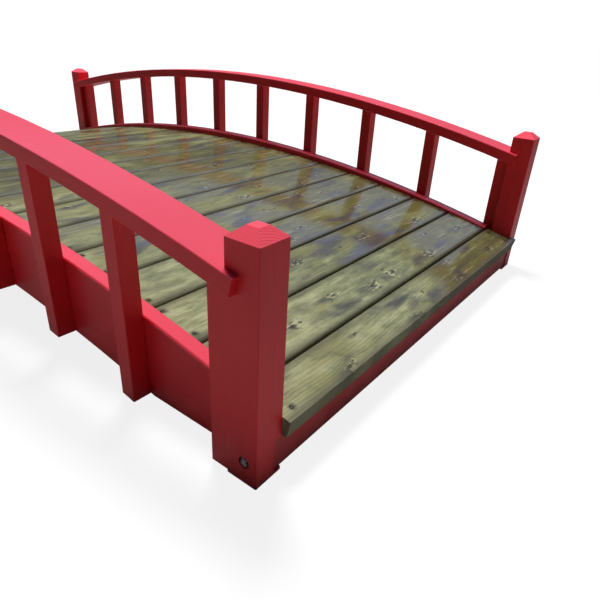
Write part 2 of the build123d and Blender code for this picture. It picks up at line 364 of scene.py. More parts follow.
class Graph:
    """Adds nodes to a tree and joins them by the names of their sockets."""

    def __init__(self, tree):
        self.tree = tree

    def add(self, kind, inputs=None, **settings):
        node = self.tree.nodes.new(kind)
        for setting, value in settings.items():
            setattr(node, setting, value)
        self.fill(node, inputs or {})
        return node

    def fill(self, node, inputs):
        """Sets inputs, by their numbers or names, to plain values or to what other nodes give."""
        for name, value in inputs.items():
            if isinstance(name, int):
                socket = node.inputs[name]
            else:
                socket = next(s for s in node.inputs if s.name == name and s.enabled)
            if isinstance(value, bpy.types.Node):
                value = next(iter(self.outputs(value).values()))
            if isinstance(value, Value):
                self.tree.links.new(value.socket, socket)
            else:
                socket.default_value = value

    def outputs(self, node):
        """What a node gives, by the names of its outputs in use."""
        return {socket.name: Value(self, socket) for socket in node.outputs if socket.enabled}

    def parts(self, kind, inputs=None, **settings):
        """What a new node gives, in the order of its outputs in use."""
        return list(self.outputs(self.add(kind, inputs, **settings)).values())

    def first(self, kind, inputs=None, **settings):
        return self.parts(kind, inputs, **settings)[0]

    def combine(self, x=0.0, y=0.0, z=0.0):
        return self.first("ShaderNodeCombineXYZ", {"X": x, "Y": y, "Z": z})

    def distance(self, x, y):
        return self.combine(x, y).vector("LENGTH")

    def layered(self, colour, *layers):
        """A colour under others, each of which comes with the share that it covers."""
        for cover, layer in layers:
            inputs = {"Factor": cover, "A": rgba(colour), "B": rgba(layer)}
            colour = self.first("ShaderNodeMix", inputs, data_type="RGBA")
        return colour

    def attribute(self, name, output="Fac"):
        return self.outputs(self.add("ShaderNodeAttribute", attribute_name=name))[output]

    def coordinates(self):
        return self.outputs(self.add("ShaderNodeTexCoord"))


def rgba(colour):
    """A colour of three numbers with its alpha, and a node's colour as it is."""
    if isinstance(colour, Value):
        return colour
    return (*colour, 1.0)


def new_group(name, kind, inputs, outputs):
    """Empty node group with named sockets: its graph, its given values and its result node."""
    tree = bpy.data.node_groups.new(name, kind)
    for socket_name, socket_kind, default in inputs:
        socket = tree.interface.new_socket(name=socket_name, in_out="INPUT", socket_type=socket_kind)
        if default is not None:
            socket.default_value = default
    for socket_name, socket_kind in outputs:
        tree.interface.new_socket(name=socket_name, in_out="OUTPUT", socket_type=socket_kind)
    graph = Graph(tree)
    given = graph.outputs(graph.add("NodeGroupInput"))
    return graph, given, graph.add("NodeGroupOutput")


def geometry_group(name, inputs):
    return new_group(name, "GeometryNodeTree", inputs, [("Geometry", "NodeSocketGeometry")])


def float_inputs(*names):
    """Sockets for plain numbers, for a group's inputs."""
    return [(name, "NodeSocketFloat", 0.0) for name in names]


def board_grain():
    """Shader group: growth rings, fibres and knots of one board sawn from a log."""
    name = "Board grain"
    if name in bpy.data.node_groups:
        return bpy.data.node_groups[name]
    graph, given, result = new_group(
        name, "ShaderNodeTree",
        [("Place", "NodeSocketVector", None), *float_inputs("Seed", "Ring Spacing", "Knot Share")],
        [(mask, "NodeSocketFloat") for mask in GRAIN_MASKS])
    white = graph.outputs(graph.add("ShaderNodeTexWhiteNoise", {"W": given["Seed"]}, noise_dimensions="1D"))
    shift, offset, depth = white["Color"].split_colour()
    along, across, through = given["Place"].split()
    along = along + shift * GRAIN_SHIFT
    spot = graph.combine(along, across, through)

    # Knots: one in some of the cells of a stretched Voronoi pattern, broken into crumbs and cracks; the dark
    # cracks carry painted shade and the pale crumbs (the rim) a painted highlight, so the knots read in
    # relief
    cells = graph.combine(along * KNOTS_ALONG, across * KNOTS_ACROSS + offset * KNOT_SHIFT)
    voronoi = graph.outputs(graph.add(
        "ShaderNodeTexVoronoi", {"Vector": cells, "Scale": 1.0, "Randomness": 0.9}, voronoi_dimensions="2D"))
    chance, girth, _ = voronoi["Color"].split_colour()
    here = chance.math("LESS_THAN", given["Knot Share"])
    away_x, away_y, _ = cells.vector("SUBTRACT", voronoi["Position"]).split()
    away_x = away_x / KNOTS_ALONG
    away_y = away_y / KNOTS_ACROSS
    radius = girth.spread(*KNOT_RADII)
    wobble = spot.noise(70.0, 3.0).spread(-1.5, 1.5)
    reach = graph.distance(away_x * 0.62, away_y) / radius + wobble
    broken = spot.noise((50.0, 140.0, 140.0))
    knot = reach.ramp(1.6, 0.7) * broken.ramp(0.53, 0.40) * here
    rim = reach.ramp(2.2, 1.0) * broken.ramp(0.48, 0.62) * here
    # Halo: a smudge drawn out along the grain from each knot, which the deck colours as stain and painted sky
    # reflection
    drawn_out = (away_x + radius * 1.8) * 0.42
    halo = graph.distance(drawn_out, away_y) / radius + wobble * 0.5
    halo = halo.ramp(2.2, 0.3) * here

    # Rings: distance from a pith that wanders under the board, pushed aside round knots
    aside = (away_y / radius).math("MAXIMUM", -1.0).math("MINIMUM", 1.0)
    push = reach.ramp(5.0, 0.0) * here * radius * aside
    line = graph.combine(along)
    sway = line.noise(1.6, 1.0).spread(-PITH_WANDER, PITH_WANDER)
    sink = line.noise(0.9, 1.0).spread(-PITH_WANDER, PITH_WANDER)
    ring_across = across - (offset.spread(-PITH_ACROSS, PITH_ACROSS) + sway) - push
    ring_depth = through + depth.spread(*PITH_DEPTHS) + sink
    ring_number = graph.distance(ring_across, ring_depth) / given["Ring Spacing"]
    ripple = given["Place"].noise((9.0, 60.0, 60.0))
    saw = (ring_number + ripple * 0.8).math("FRACT")
    rings = saw.ramp(0.25, 0.85) * saw.ramp(1.0, 0.90)

    # Fibres: fine streaks along the board
    fibre = spot.noise((9.0, 420.0, 420.0), 3.0, 0.65)
    height = rings * 0.6 + fibre * 0.7 - knot * 1.6 + rim * 1.6
    masks = (rings, fibre, knot, rim, halo, white["Value"], height)
    graph.fill(result, dict(zip(GRAIN_MASKS, masks)))
    return graph.tree


def new_material(name):
    """Material with a Principled shader: its graph, its shader and the material itself."""
    material = bpy.data.materials.new(name)
    material.use_nodes = True
    graph = Graph(material.node_tree)
    return graph, material.node_tree.nodes["Principled BSDF"], material


def grain_node(graph, ring_spacing, knot_share):
    """Board grain group, placed in a material on the piece's own board attributes."""
    inputs = {"Place": graph.attribute(PLACE, "Vector"), "Seed": graph.attribute(SEED),
              "Ring Spacing": ring_spacing, "Knot Share": knot_share}
    return graph.outputs(graph.add("ShaderNodeGroup", inputs, node_tree=board_grain()))


def bump(graph, shader, height, distance):
    relief = graph.add("ShaderNodeBump", {"Height": height, "Distance": distance, "Strength": 1.0})
    graph.fill(shader, {"Normal": relief})


def paint_finish(finish, name, painted_shade):
    """Gloss paint over planed softwood: brush marks, grain under the film, faded tops with a painted sky
    sheen, pale end grain with a painted highlight, darker paint low down that is dusty and in painted shade,
    and, by the last argument, painted shade over the whole piece.
    """
    graph, shader, material = new_material(name)
    grain = grain_node(graph, PAINTED_RING_SPACING, 0.0)
    surface = graph.coordinates()
    spot = surface["Object"]
    _, _, height = spot.split()
    _, _, up = surface["Normal"].split()
    brush = graph.attribute(PLACE, "Vector").noise((3.0, 160.0, 160.0), 3.0)
    cloud = spot.noise(5.0, 3.0)
    orange_peel = spot.noise(420.0)
    # Darker, rougher paint towards the bottom: dusty, and painted shade near the ground
    dust_and_shade = height.ramp(DUST_AND_SHADE_HEIGHT, 0.0) * spot.noise(14.0, 4.0).ramp(0.35, 0.75)
    # End grain that looks up: pale paint with a painted highlight, and rougher gloss
    end_grain = graph.attribute(END).ramp(0.45, 0.75) * up.ramp(0.3, 0.6)

    # Darker paint from grain, clouds and brush marks, and low down where it is dusty and in painted shade
    shade = grain["Rings"] * 0.14 + cloud.ramp(0.35, 0.75, 0.0, 0.25)
    shade = shade + brush.ramp(0.5, 0.85, 0.0, 0.22) + dust_and_shade * 0.5
    colour = graph.layered(
        finish.paint,
        (shade, finish.paint_dark),
        # Painted shade over the whole piece, by the last argument
        (cloud.spread(0.6 * painted_shade, painted_shade), finish.paint_shaded),
        # Faces that look up: faded paint and a painted sky sheen
        (up.ramp(0.80, 0.98) * cloud.spread(0.75, 1.0), finish.paint_faded_and_sheen),
        # Painted highlight on end grain that looks up
        (end_grain * grain["Rings"].ramp(0.1, 0.9, 1.0, 0.55), finish.paint_end_highlight))
    # Gloss that shows the sky, most of all in rounded upper edges
    sky_gloss = up.ramp(0.03, 0.30) * up.ramp(0.55, 0.80, 1.0, 0.22)
    graph.fill(shader, {"Base Color": colour, "Specular IOR Level": 0.30,
                        "Roughness": brush.spread(0.26, 0.46) + dust_and_shade * 0.25 + end_grain * 0.15,
                        "Coat Weight": sky_gloss, "Coat Roughness": 0.15, "Coat IOR": 1.6})
    bump(graph, shader, grain["Height"] * 0.32 + brush * 0.4 + orange_peel * 0.25, PAINT_RELIEF)
    return material


def paint_material(context):
    """The red paint of the railings, beams and posts, made on first use."""
    name = "red_gloss_paint"
    return bpy.data.materials.get(name) or paint_finish(context.scene.bridge_finish, name, 0.0)


def deck_finish(finish, fixing):
    """Treated softwood planks with dry and damp patches, streaks, smudges and knot halos of stain and painted
    sky reflection, knots with painted highlight and shade, dark edges of grime and painted shade, and a
    painted sky sheen at the front of the right end.
    """
    graph, shader, material = new_material("treated_deck_timber")
    grain = grain_node(graph, RING_SPACING, DECK_KNOT_SHARE)
    place = graph.attribute(PLACE, "Vector")
    surface = graph.coordinates()
    bridge_x, bridge_y, _ = surface["Object"].split()
    _, _, up = surface["Normal"].split()
    along, across, _ = place.split()
    edge = graph.attribute(HALF) - across.math("ABSOLUTE")
    spot = graph.combine(along, across, graph.attribute(SEED) * STAIN_STEP)
    streak = spot.noise((1.5, 26.0, 1.0), 3.0, 0.55)
    cloud = spot.noise((3.0, 6.5, 1.0), 4.0, 0.55, 0.5)
    mottle = spot.noise((15.0, 40.0, 1.6), 5.0, 0.6, 0.2)
    smudge = spot.noise((5.5, 16.0, 1.3), 4.0, 0.5, 0.4)
    sliver = spot.noise((8.0, 150.0, 2.0))

    # Dry timber, softly mottled and streaked, palest at the front of the right end: drier timber there, and a
    # painted sky sheen
    towards_back_left = bridge_y * 1.6 - bridge_x
    pale = mottle + streak.spread(-0.20, 0.20) + grain["Tone"].spread(-0.05, 0.05)
    # Painted sky sheen: paler towards the front of the right end
    pale = pale + towards_back_left.ramp(-1.0, -2.0, 0.0, 0.19)

    # Damp patches, most of them at mid-span and towards the back
    patchy = cloud + towards_back_left.ramp(-1.9, -0.3, -0.16, 0.18) + towards_back_left.ramp(0.0, 1.2, 0.0, -0.15)
    patchy = patchy + mottle.spread(-0.10, 0.10)
    damp = patchy.ramp(0.46, 0.64)

    # Places along the joints and round each screw
    ragged = edge + smudge.spread(-JOINT_GRIME_AND_SHADE_WANDER, JOINT_GRIME_AND_SHADE_WANDER)
    row = along.math("ABSOLUTE") - fixing.screw_row_distance
    screw_distance = graph.distance(row, edge - fixing.screw_edge_distance)

    colour = graph.layered(
        finish.timber_grey,
        (pale.ramp(0.27, 0.67), finish.timber_olive),
        (pale.ramp(0.54, 0.86, 0.0, 0.8), finish.timber_pale),
        (patchy.ramp(0.38, 0.52, 0.0, 0.6), finish.timber_yellow),
        (damp * pale.ramp(0.36, 0.72, 1.0, 0.55), finish.timber_amber),
        (damp * streak.ramp(0.50, 0.70, 0.0, 0.6), finish.timber_dark),
        (grain["Rings"] * 0.15, finish.timber_dark),
        (sliver.ramp(0.56, 0.78, 0.0, 0.5), finish.timber_pale),
        (grain["Fibre"].ramp(0.40, 0.20, 0.0, 0.35), finish.timber_dark),
        # Smudges and halos by knots: stains, and a painted reflection of the sky in wet spots
        (smudge.ramp(0.52, 0.70, 0.0, 0.8), finish.timber_slate),
        (grain["Halo"] * 0.7, finish.timber_slate),
        # Knot crumbs lit by a painted highlight, and knot hearts with painted shade in their cracks
        (grain["Rim"] * damp.spread(0.8, 0.4), finish.timber_pale),
        (grain["Knot"] * 0.85, finish.knot),
        # Joints: grime and painted shade along the rounded plank edges
        (ragged.ramp(*JOINT_GRIME_AND_SHADE, 0.0, 0.7), finish.timber_grime_and_shade),
        # Round each screw: stain, and painted shade of the head's hollow
        (screw_distance.ramp(*SCREW_STAIN_AND_SHADE, 0.0, 0.7), finish.timber_dark))
    graph.fill(shader, {"Base Color": colour, "Specular IOR Level": 0.12,
                        "Roughness": grain["Fibre"].spread(0.45, 0.65),
                        "Coat Weight": damp.spread(0.2, 1.0) * up.ramp(0.3, 0.8),
                        "Coat Roughness": 0.12, "Coat IOR": 1.56})
    bump(graph, shader, grain["Height"] + mottle * 0.8 + place.noise(300.0) * 0.3, DECK_RELIEF)
    return material


def bearer_finish(finish):
    """Rough-sawn treated softwood with saw marks across the grain."""
    graph, shader, material = new_material("sawn_bearer_timber")
    grain = grain_node(graph, RING_SPACING, BEARER_KNOT_SHARE)
    place = graph.attribute(PLACE, "Vector")
    along, _, _ = place.split()
    kerf = (along * SAW_MARK_TURN).math("SINE").spread(0.5, 1.0) * place.noise(35.0)
    colour = graph.layered(
        finish.bearer,
        (grain["Rings"] * 0.5, finish.timber_grey),
        (grain["Fibre"].ramp(0.5, 0.85, 0.0, 0.4), finish.timber_dark),
        (grain["Knot"], finish.knot))
    graph.fill(shader, {"Base Color": colour, "Roughness": grain["Fibre"].spread(0.72, 0.92)})
    bump(graph, shader, grain["Height"] + kerf, SAWN_RELIEF)
    return material


def metal_finish(name, colour, roughness, grime):
    """Weathered zinc or steel, with dull patches and fine scratches."""
    graph, shader, material = new_material(name)
    spot = graph.coordinates()["Object"]
    dull = spot.noise(260.0, 4.0).ramp(0.35, 0.70)
    scratch = spot.noise((2600.0, 240.0, 2600.0))
    graph.fill(shader, {"Base Color": graph.layered(colour, (dull, grime)),
                        "Roughness": dull.spread(roughness, roughness + 0.25) + scratch * 0.1,
                        "Metallic": dull.spread(1.0, 0.75)})
    bump(graph, shader, dull + scratch, METAL_RELIEF)
    return material


def store(graph, geometry, name, value, data_type="FLOAT", domain="POINT"):
    """Named attribute on a geometry, from a value that may change over it."""
    inputs = {"Geometry": geometry, "Name": name, "Value": value}
    return graph.add("GeometryNodeStoreNamedAttribute", inputs, data_type=data_type, domain=domain)


def eased_board():
    """Geometry group: a board along Y with its top at zero, rounded long edges and board attributes."""
    name = "Eased board"
    if name in bpy.data.node_groups:
        return bpy.data.node_groups[name]
    graph, given, result = geometry_group(
        name, float_inputs(*BOARD_SIZES) + [("Stations", "NodeSocketInt", 24)])
    half_length = given["Length"] * 0.5
    spine = graph.add("GeometryNodeCurvePrimitiveLine", {
        "Start": graph.combine(y=half_length * -1.0), "End": graph.combine(y=half_length)})
    spine = graph.add("GeometryNodeResampleCurve", {"Curve": spine, "Count": given["Stations"]})
    spine = graph.add("GeometryNodeSetCurveNormal", {"Curve": spine}, mode="Z_UP")

    section = graph.add("GeometryNodeCurvePrimitiveQuadrilateral",
                        {"Width": given["Width"], "Height": given["Thickness"]})
    # The section hangs head down on its spine, so its lower corners end up on top
    _, section_y, _ = graph.first("GeometryNodeInputPosition").split()
    radius = graph.add("ShaderNodeMix", {"Factor": section_y.math("LESS_THAN", 0.0),
                                         "A": given["Lower Radius"], "B": given["Upper Radius"]})
    section = graph.add("GeometryNodeFilletCurve",
                        {"Curve": section, "Radius": radius, "Limit Radius": True, "Count": 4}, mode="POLY")
    section = graph.add("GeometryNodeSubdivideCurve", {"Curve": section, "Cuts": 2})
    board = graph.add("GeometryNodeCurveToMesh",
                      {"Curve": spine, "Profile Curve": section, "Fill Caps": True})
    lowered = graph.combine(z=given["Thickness"] * -0.5)
    board = graph.add("GeometryNodeTransform", {"Geometry": board, "Translation": lowered})

    x, y, z = graph.first("GeometryNodeInputPosition").split()
    board = store(graph, board, PLACE, graph.combine(y, x, z), "FLOAT_VECTOR")
    board = store(graph, board, HALF, given["Width"] * 0.5)
    graph.fill(result, {"Geometry": board})
    return graph.tree


def board_node(graph, sizes, stations):
    """Eased board group, placed in another tree, with its sizes in the order of BOARD_SIZES."""
    inputs = {**dict(zip(BOARD_SIZES, sizes)), "Stations": stations}
    return graph.add("GeometryNodeGroup", inputs, node_tree=eased_board())


def close_tree(graph, result, geometry, material):
    """Ends a tree: plain mesh, sharp corners, finish."""
    corner = graph.first("GeometryNodeInputMeshEdgeAngle").math("GREATER_THAN", SHARP_CORNER)
    geometry = graph.add("GeometryNodeRealizeInstances", {"Geometry": geometry})
    geometry = graph.add("GeometryNodeSetShadeSmooth",
                         {"Geometry": geometry, "Shade Smooth": True}, domain="FACE")
    geometry = graph.add("GeometryNodeSetShadeSmooth",
                         {"Geometry": geometry, "Selection": corner, "Shade Smooth": False}, domain="EDGE")
    geometry = graph.add("GeometryNodeSetMaterial", {"Geometry": geometry, "Material": material})
    graph.fill(result, {"Geometry": geometry})
    return graph.tree


def deck_plank_tree():
    """Geometry tree: one plank, bowed and cupped a little, laid on the deck's arched line."""
    graph, given, result = geometry_group(
        "Deck plank",
        float_inputs(*BOARD_SIZES, "Arc Radius", "Arc Centre", "Arc Angle", "Wander", "Cup")
        + FINISH_INPUTS)
    board = board_node(graph, [given[size] for size in BOARD_SIZES], PLANK_STATIONS)
    board = store(graph, board, SEED, given["Seed"])
    x, y, _ = graph.first("GeometryNodeInputPosition").split()
    bow = (graph.combine(given["Seed"] * BOW_STEP, y).noise(1.7, 1.0) - 0.5) * given["Wander"]
    share = x / (given["Width"] * 0.5)
    sag = bow.math("MINIMUM", 0.0) - share * share * given["Cup"]
    board = graph.add("GeometryNodeSetPosition",
                      {"Geometry": board, "Offset": graph.combine(bow, 0.0, sag)})
    angle = given["Arc Angle"]
    radius = given["Arc Radius"]
    place = graph.combine(angle.math("SINE") * radius, 0.0,
                          given["Arc Centre"] + angle.math("COSINE") * radius)
    board = graph.add("GeometryNodeTransform",
                      {"Geometry": board, "Translation": place, "Rotation": graph.combine(y=angle)})
    return close_tree(graph, result, board, given["Finish"])


def arc_height(x, centre, radius):
    """Height of a circular arch line over x."""
    return centre + (radius * radius - x * x).math("SQRT")


def baluster_tree():
    """Geometry tree: a row of balusters, each cut to the arched lines above and below it."""
    graph, given, result = geometry_group(
        "Balusters",
        [("Count", "NodeSocketInt", 1)]
        + float_inputs("First", "Spacing", "Across", "Width", "Depth", "Edge Radius", "Rail Radius",
                       "Rail Centre", "Arch Radius", "Arch Centre", "Foot Lift")
        + FINISH_INPUTS)
    rounded = given["Edge Radius"]
    sizes = (1.0, given["Width"], given["Depth"], rounded, rounded)
    stick = board_node(graph, sizes, BALUSTER_STATIONS)
    middle = graph.combine(0.0, given["Depth"] * -0.5, 0.5)
    stick = graph.add("GeometryNodeTransform",
                      {"Geometry": stick, "Translation": middle, "Rotation": (math.radians(90), 0.0, 0.0)})
    row = graph.add("GeometryNodeMeshLine", {
        "Count": given["Count"], "Start Location": graph.combine(given["First"], given["Across"]),
        "Offset": graph.combine(given["Spacing"])})
    row = graph.add("GeometryNodeInstanceOnPoints", {"Points": row, "Instance": stick})
    number = graph.first("GeometryNodeInputIndex") + given["Seed"]
    row = store(graph, row, SEED, number, domain="INSTANCE")
    row = graph.add("GeometryNodeRealizeInstances", {"Geometry": row})
    x, y, share = graph.first("GeometryNodeInputPosition").split()
    top = arc_height(x, given["Rail Centre"], given["Rail Radius"])
    bottom = arc_height(x, given["Arch Centre"], given["Arch Radius"]).math("MAXIMUM", given["Foot Lift"])
    place = graph.combine(x, y, bottom + share * (top - bottom))
    row = graph.add("GeometryNodeSetPosition", {"Geometry": row, "Position": place})
    return close_tree(graph, result, row, given["Finish"])


def set_heads(graph, given, count, spot, lean):
    """Numbered heads, each at its spot, leaning as its face does and turned at random."""
    points = graph.add("GeometryNodeMeshLine", {"Count": count})
    points = graph.add("GeometryNodeSetPosition", {"Geometry": points, "Position": spot})
    head = graph.outputs(graph.add("GeometryNodeObjectInfo", {"Object": given["Head"]}))["Geometry"]
    lean = graph.add("FunctionNodeEulerToRotation", {"Euler": lean})
    heads = graph.add("GeometryNodeInstanceOnPoints", {"Points": points, "Instance": head, "Rotation": lean})
    turn = graph.first("FunctionNodeRandomValue", {"Seed": given["Seed"], "Max": math.tau}, data_type="FLOAT")
    turn = graph.add("FunctionNodeEulerToRotation", {"Euler": graph.combine(z=turn)})
    return graph.add("GeometryNodeRotateInstances",
                     {"Instances": heads, "Rotation": turn, "Local Space": True})


def deck_screw_tree():
    """Geometry tree: five screws in each plank, two near each end and one at mid-width."""
    graph, given, result = geometry_group(
        "Deck screws",
        [("Planks", "NodeSocketInt", 1)]
        + float_inputs("Arc Radius", "Arc Centre", "First Angle", "Angle Step", "Half Spread",
                       "Row Distance", "Stray", "Sink")
        + HEAD_INPUTS)
    number = graph.first("GeometryNodeInputIndex")
    plank = ((number + 0.5) / SCREWS_PER_PLANK).math("FLOOR")
    corner = number - plank * SCREWS_PER_PLANK
    outer = corner.math("LESS_THAN", SCREWS_PER_PLANK - 1.5)
    column = corner.math("MODULO", 2.0).sign()
    line = corner.math("GREATER_THAN", 1.5).sign()
    stray_x, stray_y, _ = graph.first(
        "FunctionNodeRandomValue",
        {"Seed": given["Seed"], "Min": (-1.0, -1.0, 0.0), "Max": (1.0, 1.0, 0.0)},
        data_type="FLOAT_VECTOR").split()
    x = column * outer * given["Half Spread"] + stray_x * given["Stray"]
    y = line * outer * given["Row Distance"] + stray_y * given["Stray"]
    angle = given["First Angle"] + plank * given["Angle Step"]
    place = graph.combine(x, y, given["Arc Radius"] - given["Sink"])
    spot = graph.first("ShaderNodeVectorRotate", {"Vector": place, "Axis": (0.0, 1.0, 0.0), "Angle": angle})
    spot = spot.vector("ADD", graph.combine(z=given["Arc Centre"]))
    screws = set_heads(graph, given, given["Planks"] * SCREWS_PER_PLANK, spot, graph.combine(y=angle))
    return close_tree(graph, result, screws, given["Finish"])


def post_bolt_tree():
    """Geometry tree: one bolt in the outer face of each of the four posts."""
    graph, given, result = geometry_group(
        "Post bolts", float_inputs("Along", "Across", "Height") + HEAD_INPUTS)
    number = graph.first("GeometryNodeInputIndex")
    end = number.math("MODULO", 2.0).sign()
    side = number.math("GREATER_THAN", 1.5).sign()
    spot = graph.combine(end * given["Along"], side * given["Across"], given["Height"])
    lean = graph.combine(side * math.radians(-90))
    bolts = set_heads(graph, given, len(ENDS) * len(SIDES), spot, lean)
    return close_tree(graph, result, bolts, given["Finish"])


def turned_head(name, radius, rings, sides):
    """Template of a fixing's head, made of rings from its rim inwards."""
    shape = bmesh.new()
    loops = []
    for share, height, corners in rings:
        loop = []
        for step in range(sides):
            angle = math.tau * step / sides
            reach = radius * share
            if corners:
                facet = math.tau / corners
                reach *= math.cos(facet / 2) / math.cos((angle + facet / 2) % facet - facet / 2)
            place = (reach * math.cos(angle), reach * math.sin(angle), radius * height)
            loop.append(shape.verts.new(place))
        loops.append(loop)
    for lower, upper in zip(loops, loops[1:]):
        for step in range(sides):
            after = (step + 1) % sides
            shape.faces.new((lower[step], lower[after], upper[after], upper[step]))
    shape.faces.new(loops[-1])
    shape.faces.new(list(reversed(loops[0])))
    bmesh.ops.recalc_face_normals(shape, faces=shape.faces)
    mesh = bpy.data.meshes.new(name)
    shape.to_mesh(mesh)
    shape.free()
    return bpy.data.objects.new(name, mesh)


def grow(name, tree, settings):
    """New object made by a geometry tree, with the tree's inputs set by their names."""
    piece = bpy.data.objects.new(name, bpy.data.meshes.new(name))
    bpy.context.scene.collection.objects.link(piece)
    modifier = piece.modifiers.new("Shape", "NODES")
    modifier.node_group = tree
    for socket in tree.interface.items_tree:
        if socket.in_out == "INPUT":
            modifier[socket.identifier] = settings[socket.name]
    return piece


def settle(piece, stands_for=()):
    """Turns a piece's modifiers into a plain mesh, then sets it on the bridge."""
    normals = piece.modifiers.new("Normals", "WEIGHTED_NORMAL")
    normals.keep_sharp = True
    bpy.context.view_layer.update()
    graph = bpy.context.evaluated_depsgraph_get()
    mesh = bpy.data.meshes.new_from_object(piece.evaluated_get(graph), preserve_all_data_layers=True,
                                           depsgraph=graph)
    piece.modifiers.clear()
    piece.data = mesh
    mesh.name = piece.name
    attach(piece, BODY)
    if stands_for:
        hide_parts(*stands_for)


def timber_copy(node, name, material, axis, seed, lean=0.0):
    """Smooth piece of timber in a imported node's shape, with board attributes along one of its axes.

    The lean is the piece's own turn about the Y axis.
    """
    shape = bmesh.new()
    shape.from_mesh(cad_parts[node].data)
    bmesh.ops.remove_doubles(shape, verts=shape.verts, dist=MERGE_DISTANCE)
    bmesh.ops.dissolve_limit(shape, angle_limit=FLAT_ANGLE, verts=shape.verts, edges=shape.edges)
    for face in shape.faces:
        face.smooth = True
    for edge in shape.edges:
        edge.smooth = len(edge.link_faces) == 2 and edge.calc_face_angle() < SHARP_EDGE
    low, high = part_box(node)
    middle = (low + high) / 2
    middle[axis] = 0.0
    upright = Matrix.Rotation(-lean, 3, "Y")
    order = [axis, *(index for index in range(3) if index != axis)]
    place_layer = shape.verts.layers.float_vector.new(PLACE)
    half_layer = shape.verts.layers.float.new(HALF)
    seed_layer = shape.verts.layers.float.new(SEED)
    end_layer = shape.faces.layers.float.new(END)
    for vertex in shape.verts:
        place = upright @ (vertex.co - middle)
        vertex[place_layer] = [place[index] for index in order]
        vertex[seed_layer] = seed
    half_width = max(abs(vertex[place_layer].y) for vertex in shape.verts)
    for vertex in shape.verts:
        vertex[half_layer] = half_width
    for face in shape.faces:
        face[end_layer] = abs(face.normal[axis])
    mesh = bpy.data.meshes.new(name)
    shape.to_mesh(mesh)
    shape.free()
    mesh.materials.append(material)
    piece = bpy.data.objects.new(name, mesh)
    bpy.context.scene.collection.objects.link(piece)
    settle(piece, [node])


def paint_copies(nodes, material, axis, first_seed):
    """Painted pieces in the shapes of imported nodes, with seeds that count on from the first."""
    for seed, node in enumerate(nodes, first_seed):
        timber_copy(node, node + "_painted", material, axis, seed)


class BRIDGE_OT_deck(bpy.types.Operator):
    """Lay the deck planks, whole ones from mid-span outwards and a ripped one at each end"""

    bl_idname = "bridge.deck"
    bl_label = "Deck planks"

    def execute(self, context):
        deck = context.scene.bridge_deck
        material = deck_finish(context.scene.bridge_finish, context.scene.bridge_fixing)
        tree = deck_plank_tree()
        line = deck_line(deck)
        for index, (angle, width) in enumerate(plank_layout(deck)):
            node = PLANKS[index]
            seed = deck.first_seed + index
            if node in (PLANKS[0], PLANKS[-1]):
                timber_copy(node, node + "_timber", material, ACROSS, seed, angle)
                continue
            settings = {
                "Length": deck.plank_length, "Width": width, "Thickness": deck.plank_thickness,
                "Upper Radius": deck.edge_radius, "Lower Radius": deck.lower_radius,
                "Arc Radius": line.radius, "Arc Centre": line.centre, "Arc Angle": angle,
                "Wander": deck.wander, "Cup": deck.cup, "Seed": seed, "Finish": material,
            }
            settle(grow(node + "_timber", tree, settings), [node])
        return {"FINISHED"}


class BRIDGE_OT_deck_screws(bpy.types.Operator):
    """Drive the deck screws into every plank"""

    bl_idname = "bridge.deck_screws"
    bl_label = "Deck screws"

    def execute(self, context):
        deck = context.scene.bridge_deck
        fixing = context.scene.bridge_fixing
        finish = context.scene.bridge_finish
        material = metal_finish("screw_steel", finish.screw, SCREW_ROUGHNESS, finish.timber_dark)
        screw = turned_head("screw_head", fixing.screw_diameter / 2, SCREW_RINGS, SCREW_SIDES)
        tree = deck_screw_tree()
        line = deck_line(deck)
        layout = plank_layout(deck)
        rows = (("deck_screws", layout[1:-1]), ("end_plank_screws", layout[::len(layout) - 1]))
        for seed, (name, planks) in enumerate(rows):
            settings = {
                "Planks": len(planks), "Arc Radius": line.radius, "Arc Centre": line.centre,
                "First Angle": planks[0][0], "Angle Step": planks[1][0] - planks[0][0],
                "Half Spread": planks[0][1] / 2 - fixing.screw_edge_distance,
                "Row Distance": fixing.screw_row_distance, "Stray": fixing.screw_stray,
                "Sink": fixing.screw_sink, "Head": screw, "Seed": seed, "Finish": material,
            }
            settle(grow(name, tree, settings))
        bpy.data.objects.remove(screw)
        return {"FINISHED"}


class BRIDGE_OT_post_bolts(bpy.types.Operator):
    """Set the bolts in the recesses low in the posts"""

    bl_idname = "bridge.post_bolts"
    bl_label = "Post bolts"

    def execute(self, context):
        fixing = context.scene.bridge_fixing
        finish = context.scene.bridge_finish
        material = metal_finish("bolt_zinc", finish.bolt, BOLT_ROUGHNESS, finish.screw)
        bolt = turned_head("bolt_head", fixing.bolt_diameter / 2, BOLT_RINGS, BOLT_SIDES)
        settings = {
            "Along": HALF_LENGTH - POST_SIDE / 2 + fixing.bolt_shift,
            "Across": HALF_WIDTH - fixing.bolt_recess, "Height": fixing.bolt_height,
            "Head": bolt, "Seed": BOLT_SEED, "Finish": material,
        }
        settle(grow("post_bolts", post_bolt_tree(), settings))
        bpy.data.objects.remove(bolt)
        return {"FINISHED"}


